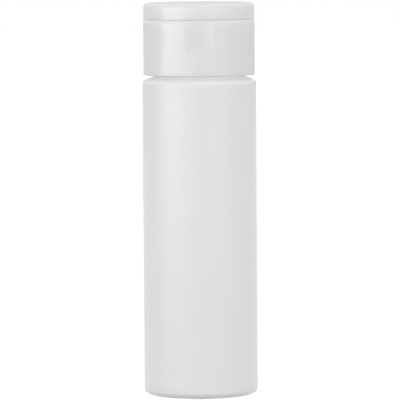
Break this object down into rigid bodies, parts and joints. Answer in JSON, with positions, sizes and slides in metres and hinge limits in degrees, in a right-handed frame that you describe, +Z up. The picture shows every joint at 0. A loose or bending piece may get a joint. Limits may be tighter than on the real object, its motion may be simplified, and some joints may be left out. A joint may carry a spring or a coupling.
{
  "type": "travel bottle",
  "caption": "Round milky plastic travel bottle with a screw cap, a hinged flip-top lid over a spout and a thumb scoop at the front.",
  "frame": {"origin": "centre of the foot ring, on the surface that the bottle stands on", "axes": "+Z up along the bottle, -Y towards the thumb scoop at the front, +Y towards the lid's hinge, +X to the right seen from the front"},
  "size_m": [0.038, 0.038, 0.1312],
  "materials": {
    "bottle_plastic": "milky translucent polyethylene, blow moulded, soft satin sheen",
    "cap_plastic": "milky translucent polypropylene, injection moulded, soft gloss",
    "seal_foam": "white closed-cell polyethylene foam, matt"
  },
  "bodies": {
    "bottle": {"bottle": "bottle_plastic"},
    "seal": {"seal_ring": "seal_foam"},
    "cap": {"cap_base": "cap_plastic", "hinge_leaf_left": "cap_plastic", "hinge_leaf_right": "cap_plastic", "snap_strap": "cap_plastic"},
    "lid": {"lid": "cap_plastic"}
  },
  "joints": [
    {"name": "cap_rise", "type": "slide", "parent": "bottle", "child": "seal", "axis": [0, 0, 1], "range_m": [0, 0.01588]},
    {"name": "cap_turn", "type": "hinge", "parent": "seal", "child": "cap", "pos_m": [0, 0, 0.1224], "axis": [0, 0, 1], "range_deg": [0, 1800]},
    {"name": "lid_flip", "type": "hinge", "parent": "cap", "child": "lid", "pos_m": [0, 0.0178, 0.12575], "axis": [-1, 0, 0], "range_deg": [0, 150], "deforming": ["hinge_leaf_left", "hinge_leaf_right", "snap_strap"]}
  ],
  "couplings": [
    {"joint": "cap_rise", "follows": "cap_turn", "m_per_rad": 0.0005053}
  ]
}
